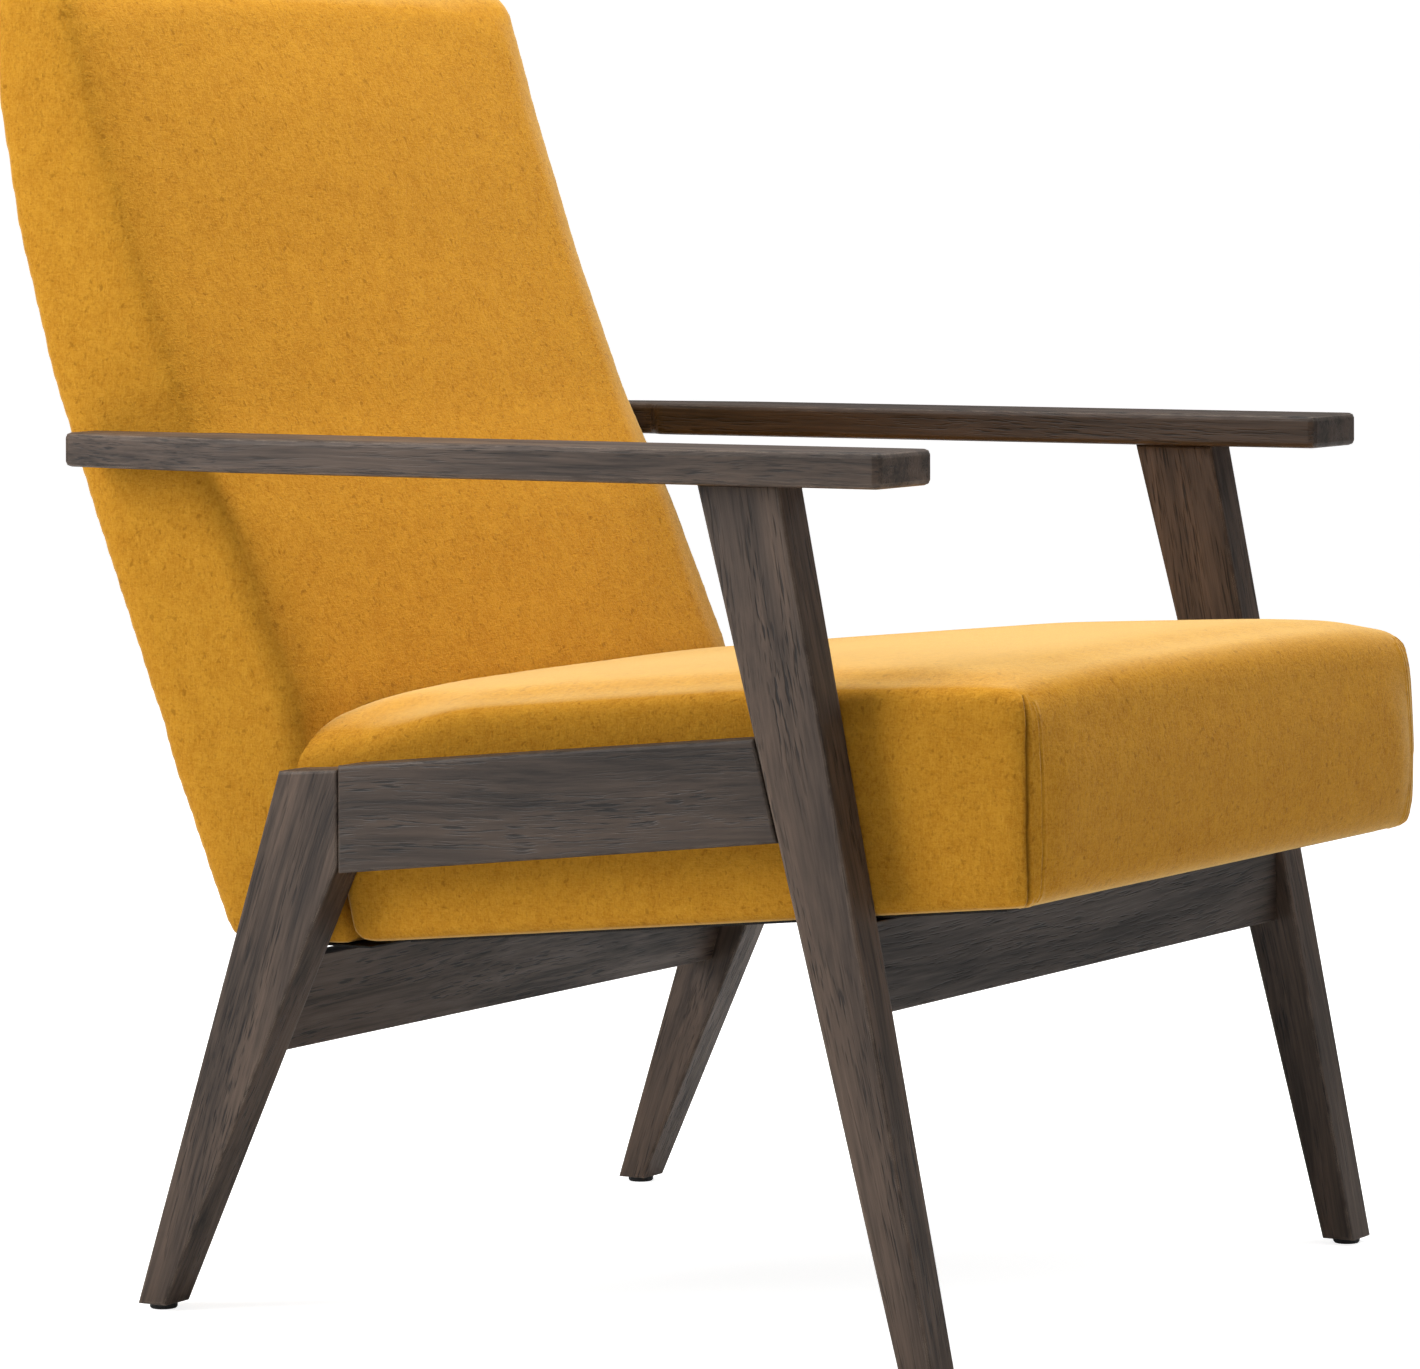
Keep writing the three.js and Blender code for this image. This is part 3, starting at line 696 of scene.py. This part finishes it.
# Metres, in the seat's own frame: y towards the back, z square to the seat's bottom
seatCushion = {
    "fall": math.atan(0.1), "height": 0.161, "rearTop": 0.128, "rearBottom": 0.087,
    "half": 0.2934, "widest": 0.2944,
    "outline": [(-0.408, 0.0022), (-0.416, 0.060), (-0.4215, 0.1405), (-0.300, 0.1465), (-0.200, 0.1515),
                (-0.040, 0.1525), (0.127, 0.1525), (0.104, 0.0022)],
    "topEdge": 0.018, "frontEdge": 0.024, "cornerEdge": 0.022, "hemEdge": 0.0055,
    "crown": 0.0125, "rearRoll": 0.030, "rearFill": 0.024,
    "voxel": 0.005, "pressure": 3.0, "cap": 0.0045, "stapledBelow": 0.009,
    "seamStart": 0.0185, "seamGap": 0.0115, "seamBow": 0.002, "seamWidth": 0.0010, "seamDepth": 0.0018,
    "seamSwell": 0.0005, "seamWander": 0.0007,
}


# Turns the seat's own frame into the chair's, from the box of the cover that it replaces
def seatTransform():
    s = seatCushion
    low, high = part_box("seat_cover")
    y = high[1] - (s["rearTop"] * math.cos(s["fall"]) + s["height"] * math.sin(s["fall"]))
    z = low[2] + s["rearBottom"] * math.sin(s["fall"])
    return Matrix.Translation((0, y, z)) @ Matrix.Rotation(-s["fall"], 4, "X")


def extrudeOutline(outline, half):
    bm = bmesh.new()
    ring = [bm.verts.new((-half, y, z)) for y, z in outline]
    face = bm.faces.new(ring)
    grown = bmesh.ops.extrude_face_region(bm, geom=[face])
    moved = [v for v in grown["geom"] if isinstance(v, bmesh.types.BMVert)]
    bmesh.ops.translate(bm, verts=moved, vec=(2 * half, 0, 0))
    bmesh.ops.recalc_face_normals(bm, faces=bm.faces)
    return bm


# Distance from a point to the front corner's two seams, measured round the corner
def seatSeamDistance(co):
    s = seatCushion
    if co.y > -0.36 or co.z > 0.136:
        return 1.0
    front = lerp(s["outline"][0][0], s["outline"][2][0], co.z / 0.14) - 0.003
    radius = s["cornerEdge"]
    centre = (s["half"] - radius, front + radius)
    angle = math.atan2(centre[1] - co.y, abs(co.x) - centre[0])
    onArc = radius * min(math.pi / 2, max(0.0, angle))
    beyond = max(0.0, centre[0] - abs(co.x)) - max(0.0, co.y - centre[1])
    wander = s["seamWander"] * noise.noise(Vector((co.x, 0, co.z * 45)))
    bow = s["seamBow"] * math.sin(math.pi * co.z / 0.14)
    first = onArc + beyond + wander - s["seamStart"] + bow
    return min(abs(first), abs(first - s["seamGap"]) * 1.25 + 0.0006)


# Painted shade: wool that faces the back lies in the crevice between the cushions, so its crease weight is
# raised to darken it
def paintRearCreviceShade(obj):
    bm = bmesh.new()
    bm.from_mesh(obj.data)
    bm.normal_update()
    crease = bm.verts.layers.float["crease"]
    for v in bm.verts:
        if v.co.z > 0.06:
            v[crease] = max(v[crease], smoothStep(0.45, 0.85, v.normal.y))
    bm.to_mesh(obj.data)
    bm.free()


def buildSeat():
    s = seatCushion
    half = s["half"]
    bm = extrudeOutline(s["outline"], half)
    frontTop = s["outline"][2]

    def isFrontTop(a, b):
        return isAcross(a, b, half) and abs(a.y - frontTop[0]) < 1e-3 and abs(a.z - frontTop[1]) < 1e-3

    def isCorner(a, b):
        return onSide(a, b, half) and max(a.y, b.y) < -0.40 and max(a.z, b.z) < 0.125

    def isTopSide(a, b):
        return onSide(a, b, half) and min(a.z, b.z) > 0.115

    def isHem(a, b):
        return max(a.z, b.z) < 0.004 and min(a.y, b.y) < 0.09

    bevelEdges(bm, isFrontTop, s["frontEdge"], 6)
    bevelEdges(bm, isCorner, s["cornerEdge"], 7)
    bevelEdges(bm, isTopSide, s["topEdge"], 5)
    bevelEdges(bm, isHem, s["hemEdge"], 4)
    seat = makeObject("seat_cushion", bm, feltMaterial)
    remesh(seat, s["voxel"])
    relax(seat, 7, 0.5)
    for v in seat.data.vertices:
        # crowned across, a little less towards the front
        lift = smoothStep(0.085, 0.15, v.co.z)
        nearFront = smoothStep(-0.33, -0.42, v.co.y)
        v.co.z += s["crown"] * lift * (1 - (v.co.x / half) ** 4) * (1 - 0.35 * nearFront)
        # the rear corners roll down beside the back, and are filled out towards it
        edge = min(0.99, max(0.0, (abs(v.co.x) / half - 0.68) / 0.32))
        rear = smoothStep(0.0, 0.12, v.co.y)
        fill = smoothStep(0.2, 0.9, edge) * smoothStep(0.09, 0.13, v.co.y) * smoothStep(0.06, 0.11, v.co.z)
        v.co.y += s["rearFill"] * fill
        v.co.z -= s["rearRoll"] * lift * rear * (1 - math.sqrt(1 - edge ** 2))
    inflate(seat, s["pressure"], s["cap"], s["stapledBelow"])
    relax(seat, 3, 0.5)
    for v in seat.data.vertices:
        v.co.x = max(-s["widest"], min(s["widest"], v.co.x))
        v.co.z = max(s["outline"][0][1], v.co.z)
    refineNear(seat, seatSeamDistance, 0.008)
    pressSeams(seat, seatSeamDistance, s["seamWidth"], s["seamDepth"], s["seamSwell"])
    paintRearCreviceShade(seat)
    seat.data.transform(seatTransform())
    finishCushion(seat, "seat_cover", "seat_foam")
    return seat


# Metres, in the chair's frame apart from a shift in y
backCushion = {
    "half": 0.2897, "rearMost": 0.406, "widest": 0.2904,
    "front": [(0.1085, 0.2495), (0.1225, 0.300), (0.1515, 0.413), (0.200, 0.524), (0.239, 0.599),
              (0.282, 0.707), (0.319, 0.816), (0.345, 0.903)],
    "rear": [(0.4055, 0.903), (0.4030, 0.850), (0.400, 0.808), (0.3855, 0.728), (0.3575, 0.629),
             (0.3235, 0.538), (0.2755, 0.416), (0.2255, 0.296), (0.2055, 0.2495)],
    "frontEdge": 0.032, "topEdge": 0.020, "rearEdge": 0.012, "flare": 0.0037,
    "voxel": 0.0050, "pressure": 3.0, "cap": 0.004, "stapledBelow": 0.256, "crown": 0.009,
}


def curveY(points, z):
    ordered = sorted(points, key=lambda p: p[1])
    for (y0, z0), (y1, z1) in zip(ordered, ordered[1:]):
        if z <= z1:
            return lerp(y0, y1, (z - z0) / (z1 - z0))
    return ordered[-1][0]


def buildBack():
    b = backCushion
    half = b["half"]
    bm = extrudeOutline(b["front"] + b["rear"], half)

    def isTop(p, q):
        return isAcross(p, q, half) and p.z > 0.88

    def isFront(p, q):
        return onSide(p, q, half) and max(r.y - curveY(b["front"], r.z) for r in (p, q)) < 0.004

    def isRear(p, q):
        behind = min(r.y - curveY(b["rear"], r.z) for r in (p, q)) > -0.004
        return onSide(p, q, half) and behind and max(p.z, q.z) < 0.88

    bevelEdges(bm, isTop, b["topEdge"], 6)
    bevelEdges(bm, isFront, b["frontEdge"], 7)
    bevelEdges(bm, isRear, b["rearEdge"], 4)
    back = makeObject("back_cushion", bm, feltMaterial)
    remesh(back, b["voxel"])
    relax(back, 12, 0.5)
    for v in back.data.vertices:
        frontness = 1 - smoothStep(0.0, 0.04, v.co.y - curveY(b["front"], v.co.z))
        acrossX = 1 - (v.co.x / half) ** 2
        upright = smoothStep(0.25, 0.5, v.co.z) * (1 - smoothStep(0.80, 0.90, v.co.z))
        v.co.y -= b["crown"] * frontness * acrossX * upright
    inflate(back, b["pressure"], b["cap"], b["stapledBelow"])
    relax(back, 2, 0.4)
    for v in back.data.vertices:
        v.co.x = max(-b["widest"], min(b["widest"], v.co.x))
        v.co.x *= 1 + b["flare"] / half * smoothStep(0.40, 0.36, v.co.z)
    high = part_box("back_cover")[1]
    back.data.transform(Matrix.Translation((0, high[1] - b["rearMost"], 0)))
    finishCushion(back, "back_cover", "back_foam")
    return back


seat = buildSeat()
print("seat cushion built:", len(seat.data.polygons), "faces")
back = buildBack()
print("back cushion built:", len(back.data.polygons), "faces")
